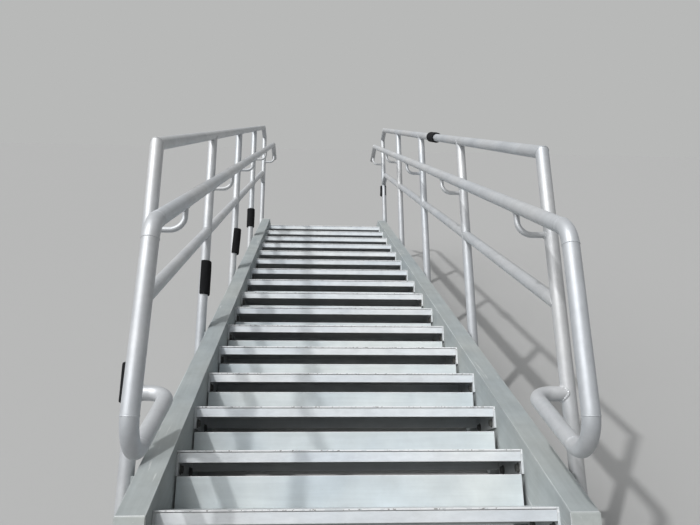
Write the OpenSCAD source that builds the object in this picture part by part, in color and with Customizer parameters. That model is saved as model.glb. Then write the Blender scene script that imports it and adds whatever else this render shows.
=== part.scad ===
// Straight flight of prefabricated steel stairs with pipe guards, lying on its stringers.
// Millimetres. The flight is drawn as it is installed, with X along the run, Y up the rise
// and Z across it, and laid() then turns it down until its heels and top corners rest at Z = 0.

/* [Flight] */
// Number of treads
tread_count = 16; // [13:1:16]
// Height from one tread to the next
rise = 165.1; // [150:0.1:178]
// Horizontal distance from one nosing to the next
run = 279.4; // [275:0.1:300]
// Clear width between the two stringer webs
clear_w = 1056; // [900:1:1200]

/* [Stringers] */
// Depth of the channel
channel_d = 305; // [280:1:330]
// Width of the channel flange
flange_w = 76; // [60:1:90]
// Thickness of the channel flange
flange_t = 12.7; // [8:0.1:16]
// Thickness of the channel web
web_t = 7.2; // [5:0.1:12]
// Height of the flange above the line of the nosings, square to it
flange_over = 29; // [15:1:45]
// Horizontal distance from the first nosing forward to the plumb cut
foot_reach = 76; // [40:1:110]
// Horizontal distance from the last nosing on to the mitre with the level stringer
mitre_reach = 163; // [100:1:200]
// Horizontal distance from the landing edge to the end of the level stringer
landing_reach = 305; // [270:1:400]

/* [Stringer ends] */
// Thickness of the plate that closes the plumb cut
foot_plate_t = 6.4; // [4:0.1:12]
// Leg of the end angles
angle_leg = 64; // [55:1:66]
// Thickness of the end angles
angle_t = 6.4; // [4:0.1:10]
// Length of the foot angle along the floor
foot_angle_l = 152; // [130:1:170]
// Distance from the plumb cut back to the foot angle
foot_angle_set = 40; // [20:1:60]
// Length of the top angle, upright
top_angle_l = 229; // [180:1:240]
// Diameter of the bolt holes in the end angles
bolt_hole_d = 17.5; // [12:0.5:20]
// Spacing of the two bolts in the foot angle
foot_bolt_pitch = 89; // [60:1:100]
// Spacing of the two bolts in the top angle
top_bolt_pitch = 152; // [100:1:160]

/* [Treads] */
// Depth of the deck, front to back
deck_depth = 267; // [250:1:272]
// Thickness of the bent plate
pan_t = 4.8; // [3:0.1:6]
// Height of the nosing, with the deck
nosing_h = 36; // [28:1:45]
// Setback of the nosing lip behind the edge of the deck
lip_inset = 2.5; // [1:0.1:5]
// Height of the rear lip, with the deck
rear_lip_h = 50; // [38:1:60]
// Height of the end plates
end_plate_h = 74; // [60:1:80]
// Thickness of the end plates
end_plate_t = 6.4; // [4:0.1:8]

/* [Toe plates] */
// Height of the toe plate above the deck
toe_h = 85; // [60:1:100]
// Depth of the toe plate below the deck, along the rear lip
toe_below = 44; // [30:1:50]
// Thickness of the toe plate
toe_t = 4.8; // [3:0.1:6]
// Gap from the toe plate to the left stringer's web
toe_gap_left = 6; // [3:0.5:15]
// Gap from the toe plate to the right stringer's web
toe_gap_right = 13; // [3:0.5:15]

/* [Guards] */
// Outside diameter of all the pipe
pipe_d = 44.5; // [33:0.1:50]
// Height of the top rail's centre line above the nosings, plumb
guard_h = 1039; // [950:1:1100]
// Height of the mid rail's centre line above the nosings, plumb
mid_h = 514; // [450:1:600]
// Horizontal distance from a nosing on to the centre of its post
post_set = 127; // [90:1:160]
// Treads from one post to the next
post_step = 4; // [3:1:5]
// Horizontal distance from the landing edge to the last post
landing_post_set = 200; // [150:1:230]
// Thickness of the pad between a post and the flanges
pad_t = 9.5; // [4:0.1:16]
// Width of the pad along the run
pad_w = 64; // [50:1:80]
// Distance that the pads and posts stay inside the channel's depth, plumb
pad_inset = 22; // [20:1:40]
// Depth to which a post's weld sinks into its pad
weld_depth = 1.5; // [0.5:0.1:3]

/* [Handrails] */
// Height of the handrail's centre line above the nosings, plumb
handrail_h = 841; // [800:1:900]
// Distance from a post's centre line in to the handrail's
handrail_in = 107; // [95:1:130]
// Distance from the landing edge to the end of the level handrail
handrail_reach = 305; // [290:1:350]
// Distance from the first nosing forward to the drop leg
drop_reach = 279; // [240:1:300]
// Radius of the bends in the plane of the handrail
bend_r = 82; // [70:1:100]
// Height of the lowest point of the return's centre line above the floor
return_low = 300; // [260:1:340]
// Radius of the bend from the return to the post
turn_r = 55; // [45:1:70]
// Angle by which the left return is swung outward from plumb, in degrees
loop_swing = 1.3; // [0:0.1:1.3]
// Diameter of the bracket bar
bracket_d = 19; // [12:1:22]
// Drop from the handrail's centre line to the bracket's foot
bracket_drop = 99; // [90:1:120]
// Radius of the bracket's bend
bracket_r = 45; // [35:1:60]

/* [Sleeves] */
// Outside diameter of the foam sleeves
sleeve_d = 64; // [56:1:80]
// Angle over which the slit of a sleeve stands open, in degrees
sleeve_slit = 100; // [40:5:130]

/* [Fits] */
// Gap between a coped end and the pipe that it meets
cope_gap = 0.3; // [0.1:0.1:0.5]
// Seam between a straight pipe and a bend or mitre
seam = 0.3; // [0.1:0.1:0.5]

/* [Hidden] */
$fn = 64;
pitch = atan2(rise, run);
slope = rise / run;
pipe_r = pipe_d / 2;
cope_r = pipe_r + cope_gap;
web_x = clear_w / 2;
flange_x = web_x + flange_w;
post_x = flange_x + pad_t + pipe_r - weld_depth;
handrail_x = post_x - handrail_in;
landing_run = tread_count * run;
landing_rise = (tread_count + 1) * rise;
post_count = floor((tread_count - 1) / post_step) + 1;
last_post_run = landing_run + landing_post_set;
big = 2 * landing_run;

// Height of the line of nosings over a point of the run, level beyond the landing edge
function nosing_line(x) = rise + slope * x;
function walk_line(x) = nosing_line(min(x, landing_run));
function flange_top(x) = nosing_line(x) + flange_over / cos(pitch);
function flange_bottom(x) = flange_top(x) - channel_d / cos(pitch);

// The mitre between the sloped and the level stringer, and the heel of the level cut
mitre_run = (tread_count - 1) * run + mitre_reach;
mitre_top = flange_top(mitre_run);
mitre_low_run = mitre_run + channel_d * (1 / cos(pitch) - 1) / slope;
level_bottom = mitre_top - channel_d;
level_end = landing_run + landing_reach;
heel_run = ((channel_d - flange_over) / cos(pitch) - rise) / slope;

// The flight rests on its two heels and on the lower corners of the level stringers
lie = atan2(level_bottom, level_end - heel_run);
lift = heel_run * sin(lie);

// The handrail's drop leg, its bends and the return, as points of run and rise
leg_low = return_low + bend_r;
bend_x = bend_r - drop_reach;
return_x = bend_x + bend_r * sin(pitch);
return_y = leg_low - bend_r * cos(pitch);
elbow_cut = bend_r * tan(45 - pitch / 2);
elbow_y = nosing_line(-drop_reach) + handrail_h;
elbow_top = elbow_y + elbow_cut * sin(pitch);
post_return_y = return_y + slope * (post_set - return_x);
swing_out = (elbow_top - post_return_y) * tan(loop_swing);

// Ends of the whole flight along the floor, for an origin in the middle of it
near_end = bend_x * cos(lie) + leg_low * sin(lie) - bend_r - pipe_r;
far_end = (last_post_run + pipe_r) * cos(lie) + (landing_rise + guard_h + pipe_r) * sin(lie);
mid = (near_end + far_end) / 2;

// Columns: tread number, height of its toe plate over the usual place
TOE_SETS = [
    [1, 5],
    [2, -8],
    [3, 3],
    [6, -6],
    [7, -3],
];
// Columns: side (-1 left, 1 right), post number, height of the sleeve's foot above the
// nosing line, length, distance that its foot and its top stand outward off the post's
// centre line, direction of its slit (0 along the run, 90 outward, 180 to the flight's foot)
POST_SLEEVES = [
    [-1, 1, 212, 113, 8, 8, 270],
    [-1, 2, 194, 165, 0, 0, 103],
    [-1, 3, 135, 172, -5, -14, 102],
    [-1, 4, 110, 162, 0, 0, 0],
    [1, 5, 378, 110, -10, -5, 180],
];
// Columns: side, run of the lower end, length along the top rail
RAIL_SLEEVES = [[1, 1825, 200]];

function two(n) = n < 10 ? str("0", n) : str(n);
function side_name(s) = s < 0 ? "left" : "right";
function toe_set(n) = let (found = [for (row = TOE_SETS) if (row[0] == n) row[1]]) len(found) > 0 ? found[0] : 0;
function post_run(k) = k > post_count ? last_post_run : post_set + (k - 1) * post_step * run;

// The installed flight turned down onto the floor
module laid() {
    translate([0, -mid, lift]) rotate([90, 0, 90]) rotate([0, 0, -lie]) children();
}

// One side of the flight: the right one as drawn, the left one its mirror image
module on_side(s) {
    laid() mirror([0, 0, s < 0 ? 1 : 0]) children();
}

// Everything on one side of a plane through p, whose normal points along angle a
module half_space(p, a) {
    translate([p[0], p[1], 0]) rotate([0, 0, a]) translate([0, -big, -big]) cube([2 * big, 2 * big, 2 * big]);
}

// A straight pipe from point a to point b, both of run and rise
module pipe(a, b, r, more = 0) {
    length = norm(b - a);
    angle = atan2(b[1] - a[1], b[0] - a[0]);
    translate([a[0], a[1], 0]) rotate([0, 0, angle]) translate([-more, 0, 0])
        rotate([0, 90, 0]) cylinder(r = r, h = length + 2 * more);
}

// A pipe bend about a point of run and rise, from angle a over a sweep
module bend(p, radius, r, a, sweep) {
    translate([p[0], p[1], 0]) rotate([0, 0, a]) rotate_extrude(angle = sweep)
        translate([radius, 0]) circle(r = r);
}

// Side elevation of the sloped stringer
module stringer_outline() {
    polygon([
        [-foot_reach, 0],
        [heel_run, 0],
        [mitre_low_run, level_bottom],
        [mitre_run, mitre_top],
        [-foot_reach, flange_top(-foot_reach)],
    ]);
}

// The trough between the flanges of the sloped stringer, open at both ends
module slope_trough() {
    x0 = -foot_reach - channel_d;
    x1 = mitre_run + channel_d;
    t = flange_t / cos(pitch);
    polygon([
        [x0, flange_bottom(x0) + t],
        [x1, flange_bottom(x1) + t],
        [x1, flange_top(x1) - t],
        [x0, flange_top(x0) - t],
    ]);
}

module stringer(s) {
    color("#9aa19f") on_side(s) difference() {
        translate([0, 0, web_x]) linear_extrude(flange_w) stringer_outline();
        translate([0, 0, web_x + web_t]) linear_extrude(flange_w) slope_trough();
    }
}

module level_stringer(s) {
    color("#9aa19f") on_side(s) difference() {
        translate([0, 0, web_x]) linear_extrude(flange_w) polygon([
            [mitre_low_run, level_bottom],
            [level_end, level_bottom],
            [level_end, mitre_top],
            [mitre_run, mitre_top],
        ]);
        translate([mitre_run - channel_d, level_bottom + flange_t, web_x + web_t])
            cube([level_end, channel_d - 2 * flange_t, flange_w]);
    }
}

// The plate that closes the plumb cut, its top flush with the flange
module foot_plate(s) {
    front = -foot_reach - foot_plate_t;
    on_side(s) translate([0, 0, web_x]) linear_extrude(flange_w) polygon([
        [front, 0],
        [-foot_reach, 0],
        [-foot_reach, flange_top(-foot_reach)],
        [front, flange_top(front)],
    ]);
}

module foot_plates() {
    color("#a8aeab") for (s = [-1, 1]) foot_plate(s);
}

// The angle on the web at the level cut, with two holes down into the floor
module foot_angle(s) {
    x0 = -foot_reach + foot_angle_set;
    hole_x = x0 + foot_angle_l / 2;
    hole_z = web_x + web_t + angle_t + (angle_leg - angle_t) / 2;
    on_side(s) difference() {
        translate([x0, 0, web_x + web_t]) cube([foot_angle_l, angle_leg, angle_leg]);
        translate([x0 - 1, angle_t, web_x + web_t + angle_t]) cube([foot_angle_l + 2, angle_leg, angle_leg]);
        for (k = [-1, 1]) translate([hole_x + k * foot_bolt_pitch / 2, -1, hole_z])
            rotate([-90, 0, 0]) cylinder(d = bolt_hole_d, h = angle_t + 2);
    }
}

module foot_angles() {
    color("#9aa19f") for (s = [-1, 1]) foot_angle(s);
}

// The angle on the web at the end of the level stringer, with two holes towards the landing
module top_angle(s) {
    y0 = level_bottom + (channel_d - top_angle_l) / 2;
    hole_y = y0 + top_angle_l / 2;
    hole_z = web_x + web_t + angle_t + (angle_leg - angle_t) / 2;
    on_side(s) difference() {
        translate([level_end - angle_leg, y0, web_x + web_t]) cube([angle_leg, top_angle_l, angle_leg]);
        translate([level_end - angle_leg - 1, y0 - 1, web_x + web_t + angle_t])
            cube([angle_leg - angle_t + 1, top_angle_l + 2, angle_leg]);
        for (k = [-1, 1]) translate([level_end - angle_t - 1, hole_y + k * top_bolt_pitch / 2, hole_z])
            rotate([0, 90, 0]) cylinder(d = bolt_hole_d, h = angle_t + 2);
    }
}

module top_angles() {
    color("#9aa19f") for (s = [-1, 1]) top_angle(s);
}

// A tread: one bent plate with a nosing lip and a rear lip, between two end plates
module tread(n) {
    color("#d2d7d9") laid() translate([(n - 1) * run, n * rise, 0]) {
        translate([0, 0, end_plate_t - web_x]) linear_extrude(clear_w - 2 * end_plate_t) polygon([
            [0, 0],
            [0, -pan_t],
            [lip_inset, -pan_t],
            [lip_inset, -nosing_h],
            [lip_inset + pan_t, -nosing_h],
            [lip_inset + pan_t, -pan_t],
            [deck_depth - pan_t, -pan_t],
            [deck_depth - pan_t, -rear_lip_h],
            [deck_depth, -rear_lip_h],
            [deck_depth, 0],
        ]);
        for (z = [-web_x, web_x - end_plate_t]) translate([lip_inset, -end_plate_h, z])
            cube([deck_depth - lip_inset, end_plate_h, end_plate_t]);
    }
}

// A toe plate on the back of a tread's rear lip
module toe_plate(n) {
    width = clear_w - toe_gap_left - toe_gap_right;
    color("#c9ced1") laid() translate([(n - 1) * run + deck_depth, n * rise + toe_set(n), toe_gap_left - web_x])
        translate([0, -toe_below, 0]) cube([toe_t, toe_h + toe_below, width]);
}

// The centre line of a rail over a post
function rail_point(x, h) = [x, walk_line(x) + h];

module post(s, k) {
    x = post_run(k);
    last = k > post_count;
    top = rail_point(x, guard_h);
    under = last ? level_bottom : max(flange_bottom(x), 0);
    over = last ? mitre_top : flange_top(x);
    foot = [x, under + pad_inset];
    cut = k == 1 ? pitch / 2 - 135 : (last ? -45 : pitch - 90);
    color("#b9bec1") on_side(s) {
        difference() {
            translate([0, 0, post_x]) intersection() {
                pipe(foot, top + [0, big / 4], pipe_r);
                half_space(top, cut);
            }
            if (k > 1 && !last)
                translate([0, 0, post_x]) pipe(top - [big, big * slope], top + [big, big * slope], cope_r);
        }
        post_pad(x, foot[1], over - pad_inset);
    }
}

// The pad between a post and the tips of the flanges
module post_pad(x, y0, y1) {
    translate([x - pad_w / 2, y0, flange_x]) cube([pad_w, y1 - y0, pad_t]);
}

module top_rail(s) {
    a = rail_point(post_run(1), guard_h);
    b = rail_point(landing_run, guard_h);
    c = rail_point(last_post_run, guard_h);
    color("#b9bec1") on_side(s) translate([0, 0, post_x]) {
        intersection() {
            pipe(a, b, pipe_r, pipe_d);
            half_space(a, pitch / 2 + 45);
            half_space(b - seam * [cos(pitch), sin(pitch)], pitch / 2 + 180);
        }
        intersection() {
            pipe(b, c, pipe_r, pipe_d);
            half_space(b, pitch / 2);
            half_space(c, 135);
        }
    }
}

module mid_rail(s) {
    a = rail_point(post_run(1), mid_h);
    b = rail_point(landing_run, mid_h);
    c = rail_point(last_post_run, mid_h);
    color("#b9bec1") on_side(s) translate([0, 0, post_x]) difference() {
        union() {
            intersection() {
                pipe(a, b, pipe_r, pipe_d);
                half_space(a, 0);
                half_space(b - seam * [cos(pitch), sin(pitch)], pitch / 2 + 180);
            }
            intersection() {
                pipe(b, c, pipe_r, pipe_d);
                half_space(b, pitch / 2);
                half_space(c, 180);
            }
        }
        for (k = [1 : post_count + 1]) {
            p = rail_point(post_run(k), mid_h);
            pipe(p - [0, 3 * pipe_d], p + [0, 3 * pipe_d], cope_r);
        }
    }
}

// The sloped handrail and its level end over the landing
module handrail(s) {
    corner = [-drop_reach, elbow_y];
    a = corner + elbow_cut * [cos(pitch), sin(pitch)];
    b = rail_point(landing_run, handrail_h);
    c = rail_point(landing_run + handrail_reach, handrail_h);
    color("#b9bec1") on_side(s) translate([0, 0, handrail_x]) {
        intersection() {
            pipe(a, b, pipe_r, pipe_d);
            half_space(a + seam * [cos(pitch), sin(pitch)], pitch);
            half_space(b - seam * [cos(pitch), sin(pitch)], pitch / 2 + 180);
        }
        intersection() {
            pipe(b, c, pipe_r, pipe_d);
            half_space(b, pitch / 2);
            half_space(c, 180);
        }
    }
}

// The left return swings outward about the top of its elbow, as it was welded
module swung(s) {
    translate([0, elbow_top, handrail_x]) rotate([s < 0 ? -loop_swing : 0, 0, 0])
        translate([0, -elbow_top, -handrail_x]) children();
}

// The elbow, drop leg, lower bend and return that close the handrail onto the first post
module handrail_return(s) {
    leg_top = elbow_y - elbow_cut;
    return_end = [post_set, post_return_y] - turn_r * [cos(pitch), sin(pitch)];
    stub = handrail_in - turn_r - seam - (s < 0 ? swing_out : 0);
    color("#b9bec1") on_side(s) {
        swung(s) translate([0, 0, handrail_x]) {
            bend([bend_x, leg_top], bend_r, pipe_r, 90 + pitch, 90 - pitch);
            pipe([-drop_reach, leg_low], [-drop_reach, leg_top], pipe_r, -seam);
            bend([bend_x, leg_low], bend_r, pipe_r, 180, 90 + pitch);
            pipe([return_x, return_y], return_end, pipe_r, -seam);
        }
        swung(s) translate([return_end[0], return_end[1], handrail_x]) rotate([0, 0, pitch])
            translate([0, 0, turn_r]) rotate([90, 0, 0]) rotate([0, 0, -90])
            rotate_extrude(angle = 90) translate([turn_r, 0]) circle(r = pipe_r);
        difference() {
            swung(s) translate([post_set, post_return_y, handrail_x + turn_r + seam])
                cylinder(r = pipe_r, h = stub);
            translate([0, 0, post_x])
                pipe([post_set, post_return_y - 3 * pipe_d], [post_set, post_return_y + 3 * pipe_d], cope_r);
        }
    }
}

// A bracket of round bar: in from the post, then up to the underside of the handrail
module bracket(s, k) {
    x = post_run(k);
    rail = rail_point(x, handrail_h);
    foot_y = rail[1] - bracket_drop;
    along = x > landing_run ? [1, 0] : [1, slope];
    on_side(s) {
        difference() {
            translate([x, foot_y, handrail_x + bracket_r + seam])
                cylinder(d = bracket_d, h = handrail_in - bracket_r - seam);
            translate([0, 0, post_x]) pipe([x, foot_y - pipe_d], [x, foot_y + pipe_d], cope_r);
        }
        translate([x, foot_y + bracket_r, handrail_x + bracket_r]) rotate([0, -90, 0])
            rotate([0, 0, 180]) rotate_extrude(angle = 90) translate([bracket_r, 0])
            circle(d = bracket_d);
        translate([0, 0, handrail_x]) difference() {
            pipe([x, foot_y + bracket_r + seam], rail, bracket_d / 2);
            pipe(rail - pipe_d * along, rail + pipe_d * along, cope_r);
        }
    }
}

module brackets() {
    color("#c4c9cb") for (s = [-1, 1]) for (k = [1 : post_count + 1]) bracket(s, k);
}

// A foam tube round a pipe from a to b. Its axis stands outward off the pipe's by out_a at
// a and out_b at b, and its slit is open towards the direction at
module sleeve(a, b, out_a = 0, out_b = 0, slit = 0, at = 0) {
    length = norm(b - a);
    lean = atan2(out_b - out_a, length);
    difference() {
        translate([a[0], a[1], out_a]) rotate([0, 0, atan2(b[1] - a[1], b[0] - a[0])])
            rotate([0, 90 - lean, 0]) difference() {
                cylinder(d = sleeve_d, h = length);
                if (out_a != 0 || out_b != 0) translate([0, 0, -1]) cylinder(r = cope_r, h = length + 2);
                if (slit > 0) translate([0, 0, -1]) rotate([0, 0, -90 - at]) linear_extrude(length + 2) polygon([
                    [0, 0],
                    sleeve_d * [cos(slit / 2), -sin(slit / 2)],
                    [1.5 * sleeve_d, 0],
                    sleeve_d * [cos(slit / 2), sin(slit / 2)],
                ]);
            }
        pipe(a, b, cope_r, 5);
    }
}

module sleeves() {
    color("#1d1e20") {
        for (row = POST_SLEEVES) if (row[1] <= post_count + 1) {
            foot = rail_point(post_run(row[1]), row[2]);
            on_side(row[0]) difference() {
                translate([0, 0, post_x])
                    sleeve(foot, foot + [0, row[3]], row[4], row[5], sleeve_slit, row[6]);
                swung(row[0]) translate([post_set, post_return_y, 0]) cylinder(r = cope_r, h = post_x);
            }
        }
        for (row = RAIL_SLEEVES) {
            foot = rail_point(row[1], guard_h);
            on_side(row[0]) translate([0, 0, post_x])
                sleeve(foot, foot + row[2] * [cos(pitch), sin(pitch)]);
        }
    }
}

for (s = [-1, 1]) {
    stringer(s);
    level_stringer(s);
    top_rail(s);
    mid_rail(s);
    handrail(s);
    handrail_return(s);
    for (k = [1 : post_count + 1])
        post(s, k);
}
for (n = [1 : tread_count]) {
    tread(n);
    toe_plate(n);
}
foot_plates();
foot_angles();
top_angles();
brackets();
sleeves();
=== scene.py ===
"""A straight steel stair flight with pipe guards, lying on its two stringers on a pale studio floor."""
import math

import bmesh
import bpy
import numpy as np
from mathutils import Matrix, Vector


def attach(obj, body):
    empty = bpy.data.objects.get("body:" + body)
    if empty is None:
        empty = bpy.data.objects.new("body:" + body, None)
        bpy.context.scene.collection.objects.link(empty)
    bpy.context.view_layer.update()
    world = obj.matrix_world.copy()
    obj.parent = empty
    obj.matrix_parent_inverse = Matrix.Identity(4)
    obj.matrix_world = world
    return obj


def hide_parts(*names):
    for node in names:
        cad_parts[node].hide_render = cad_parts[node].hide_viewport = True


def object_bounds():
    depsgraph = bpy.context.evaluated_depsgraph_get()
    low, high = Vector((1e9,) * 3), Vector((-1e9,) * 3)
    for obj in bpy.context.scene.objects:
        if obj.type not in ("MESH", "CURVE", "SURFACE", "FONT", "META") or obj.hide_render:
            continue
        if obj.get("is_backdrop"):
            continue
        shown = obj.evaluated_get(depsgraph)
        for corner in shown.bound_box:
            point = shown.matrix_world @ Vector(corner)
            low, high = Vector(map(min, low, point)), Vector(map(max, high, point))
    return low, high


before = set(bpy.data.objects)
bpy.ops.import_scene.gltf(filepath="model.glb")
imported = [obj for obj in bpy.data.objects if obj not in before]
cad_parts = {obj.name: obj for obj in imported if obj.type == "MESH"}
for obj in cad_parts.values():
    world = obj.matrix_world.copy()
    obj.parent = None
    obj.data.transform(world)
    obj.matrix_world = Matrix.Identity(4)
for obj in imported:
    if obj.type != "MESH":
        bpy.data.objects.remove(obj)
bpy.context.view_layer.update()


# The view: from eye height in front of the foot, up along the flight and a little down.
# Its turn, dip and tilt are in degrees, and the lens is stated in pixels of a frame 700 wide.
EYE = Vector((-0.1371, -4.4982, 1.1985))
TURN, DIP, TILT = (math.radians(a) for a in (3.419, 9.731, 1.277))
LENS_PX, FRAME_PX, SENSOR_MM = 686.0, 700.0, 36
NEAREST, FARTHEST = 0.05, 200

ahead = Vector((math.sin(TURN) * math.cos(DIP), math.cos(TURN) * math.cos(DIP), -math.sin(DIP)))
level = Vector((math.cos(TURN), -math.sin(TURN), 0))
above = level.cross(ahead)
right = math.cos(TILT) * level + math.sin(TILT) * above
view_up = math.cos(TILT) * above - math.sin(TILT) * level
camera = bpy.data.objects.new("view", bpy.data.cameras.new("view"))
camera.data.sensor_width = SENSOR_MM
camera.data.lens = SENSOR_MM * LENS_PX / FRAME_PX
camera.data.clip_start, camera.data.clip_end = NEAREST, FARTHEST
turned = Matrix((right, view_up, -ahead)).transposed().to_4x4()
camera.matrix_world = Matrix.Translation(EYE) @ turned
bpy.context.collection.objects.link(camera)
bpy.context.scene.camera = camera


# The studio: one flat pale floor as far as the eye reaches, a broad soft lamp and a
# smaller one up on the left behind the viewer, and an even pale surround of the floor's tone.
FLOOR_SEEN, FLOOR_BOUNCE = (0.457, 0.457, 0.452), (0.25, 0.25, 0.245)
SURROUND_SEEN, SURROUND_FILL = (0.480, 0.485, 0.480), (0.188, 0.194, 0.20)
FLOOR_HALF, LAMP_FAR = 150.0, 20.0
# For each lamp: degrees left of the viewer's back, degrees up, degrees across, strength
LAMPS = {"small_lamp": (57.0, 58.0, 2.0, 1.35), "broad_lamp": (56.0, 46.0, 60.0, 2.15)}

# Points closer than this, in metres, are merged, and a bevel has this many steps
MERGE_GAP, BEVEL_STEPS = 2e-6, 2


def skin(name, *grids, sharp=32, bevel=0.0, wear_and_highlight=None):
    """One mesh from grids of points: every square of four neighbours is a face. Points that
    meet are merged, and the faces are turned outward. bevel, in mm, rounds the sharp edges,
    and the last argument is the number of the paint that the rounded edges take: worn paint
    with a painted highlight where the edges catch the light."""
    points, faces, first = [], [], 0
    for grid in grids:
        rows, cols = grid.shape[:2]
        i = first + np.arange(rows * cols).reshape(rows, cols)
        faces.append(np.stack([i[:-1, :-1], i[1:, :-1], i[1:, 1:], i[:-1, 1:]], -1).reshape(-1, 4))
        points.append(grid.reshape(-1, 3))
        first += rows * cols
    mesh = bpy.data.meshes.new(name)
    mesh.from_pydata(np.concatenate(points).tolist(), [], np.concatenate(faces).tolist())
    bm = bmesh.new()
    bm.from_mesh(mesh)
    bmesh.ops.remove_doubles(bm, verts=bm.verts, dist=MERGE_GAP)
    bmesh.ops.recalc_face_normals(bm, faces=bm.faces)
    bm.to_mesh(mesh)
    bm.free()
    mesh.shade_smooth()
    piece = bpy.data.objects.new(name, mesh)
    bpy.context.collection.objects.link(piece)
    if bevel:
        edge = piece.modifiers.new("edges", "BEVEL")
        edge.width, edge.segments, edge.limit_method = bevel / 1000, BEVEL_STEPS, "ANGLE"
        edge.angle_limit, edge.harden_normals = math.radians(sharp), True
        edge.material = -1 if wear_and_highlight is None else wear_and_highlight
    else:
        mesh.set_sharp_from_angle(angle=math.radians(sharp))
    return piece


rim = (-FLOOR_HALF, FLOOR_HALF)
floor = skin("floor", np.array([[[x, y, 0.0] for y in rim] for x in rim]))
if floor.data.polygons[0].normal.z < 0:
    floor.data.flip_normals()
floor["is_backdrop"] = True


def seen_or_cast(tree, seen, cast):
    """One colour where a picture, a reflection or a look through glass meets it, another for
    its light."""
    path = tree.nodes.new("ShaderNodeLightPath")
    was = path.outputs["Is Camera Ray"]
    for ray in ("Is Glossy Ray", "Is Transmission Ray"):
        either = tree.nodes.new("ShaderNodeMath")
        either.operation = "MAXIMUM"
        tree.links.new(was, either.inputs[0])
        tree.links.new(path.outputs[ray], either.inputs[1])
        was = either.outputs[0]
    pick = tree.nodes.new("ShaderNodeMix")
    pick.data_type = "RGBA"
    pick.inputs[6].default_value, pick.inputs[7].default_value = (*cast, 1), (*seen, 1)
    tree.links.new(was, pick.inputs[0])
    return pick.outputs[2]


floor_finish = bpy.data.materials.new("studio floor")
floor_finish.use_nodes = True
tree = floor_finish.node_tree
shader = tree.nodes["Principled BSDF"]
tree.links.new(seen_or_cast(tree, FLOOR_SEEN, FLOOR_BOUNCE), shader.inputs["Base Color"])
shader.inputs["Roughness"].default_value = 1.0
shader.inputs["Specular IOR Level"].default_value = 0.0
floor.data.materials.append(floor_finish)

world = bpy.data.worlds.new("surround")
bpy.context.scene.world = world
world.use_nodes = True
tree = world.node_tree
backdrop = tree.nodes["Background"]
tree.links.new(seen_or_cast(tree, SURROUND_SEEN, SURROUND_FILL), backdrop.inputs["Color"])
backdrop.inputs["Strength"].default_value = 1.0

for name, (round_, up_, across, strength) in LAMPS.items():
    light = bpy.data.lights.new(name, "SUN")
    light.energy, light.angle = strength, math.radians(across)
    lamp = bpy.data.objects.new(name, light)
    round_, up_ = math.radians(round_), math.radians(up_)
    shine = Vector((math.sin(round_) * math.cos(up_), math.cos(round_) * math.cos(up_), -math.sin(up_)))
    lamp.location = shine * -LAMP_FAR
    lamp.rotation_mode = "QUATERNION"
    lamp.rotation_quaternion = shine.to_track_quat("-Z", "Y")
    bpy.context.collection.objects.link(lamp)
bpy.context.scene.view_settings.view_transform = "Standard"


# Stringers: one steel channel on each side, back to the treads, its foot cut plumb and
# level and its upper end mitred and welded to a short level channel that meets the landing.
# From here on lengths are in mm.
RISE, RUN, TREADS = 165.1, 279.4, 16
CLEAR_W, CHANNEL_D, FLANGE_W, FLANGE_T, WEB_T = 1056.0, 305.0, 76.0, 12.7, 7.2
FLANGE_OVER, FOOT_REACH, MITRE_REACH, LANDING_REACH = 29.0, 76.0, 163.0, 305.0
ROOT_R, TOE_R, EDGE_R, RUB_AND_HIGHLIGHT_W = 8.0, 4.5, 1.3, 2.6
PITCH = math.atan2(RISE, RUN)
SLOPE = RISE / RUN
WEB_X = CLEAR_W / 2
LANDING_RUN = TREADS * RUN
LANDING_RISE = (TREADS + 1) * RISE


def nosing_line(run):
    """Height of the line of nosings over a run: one rise at the first nosing, then the slope."""
    return RISE + SLOPE * np.asarray(run, float)


def flange_top(run):
    """The nosing line, raised by the flange's square height over it."""
    return nosing_line(run) + FLANGE_OVER / math.cos(PITCH)


MITRE_RUN = (TREADS - 1) * RUN + MITRE_REACH
MITRE_TOP = float(flange_top(MITRE_RUN))
MITRE_LOW_RUN = MITRE_RUN + CHANNEL_D * (1 / math.cos(PITCH) - 1) / SLOPE
LEVEL_BOTTOM = MITRE_TOP - CHANNEL_D
LEVEL_END = LANDING_RUN + LANDING_REACH
HEEL_RUN = ((CHANNEL_D - FLANGE_OVER) / math.cos(PITCH) - RISE) / SLOPE

# The flight rests on its heels and on the lower corners of the level channels
LIE = math.atan2(LEVEL_BOTTOM, LEVEL_END - HEEL_RUN)
LIFT = HEEL_RUN * math.sin(LIE)
# The returns' bends and the last posts are the two ends, and the whole is centred between them
PIPE_R, BEND_R, DROP_REACH, RETURN_LOW = 22.25, 82.0, 279.0, 300.0
GUARD_H, LAST_POST_SET = 1039.0, 200.0
LEG_LOW = RETURN_LOW + BEND_R
NEAR_END = (BEND_R - DROP_REACH) * math.cos(LIE) + LEG_LOW * math.sin(LIE) - BEND_R - PIPE_R
FAR_END = ((LANDING_RUN + LAST_POST_SET + PIPE_R) * math.cos(LIE)
           + (LANDING_RISE + GUARD_H + PIPE_R) * math.sin(LIE))
MIDDLE = (NEAR_END + FAR_END) / 2


def laid(spots):
    """Turns points (across, run, rise) of the installed flight, in mm, down onto the floor:
    run and rise are rotated by the angle LIE, centred and lifted, and come out in metres."""
    spots = np.asarray(spots, float)
    across, run, rise = spots[..., 0], spots[..., 1], spots[..., 2]
    y = run * math.cos(LIE) + rise * math.sin(LIE) - MIDDLE
    z = -run * math.sin(LIE) + rise * math.cos(LIE) + LIFT
    return np.stack([across, y, z], -1) / 1000


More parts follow.
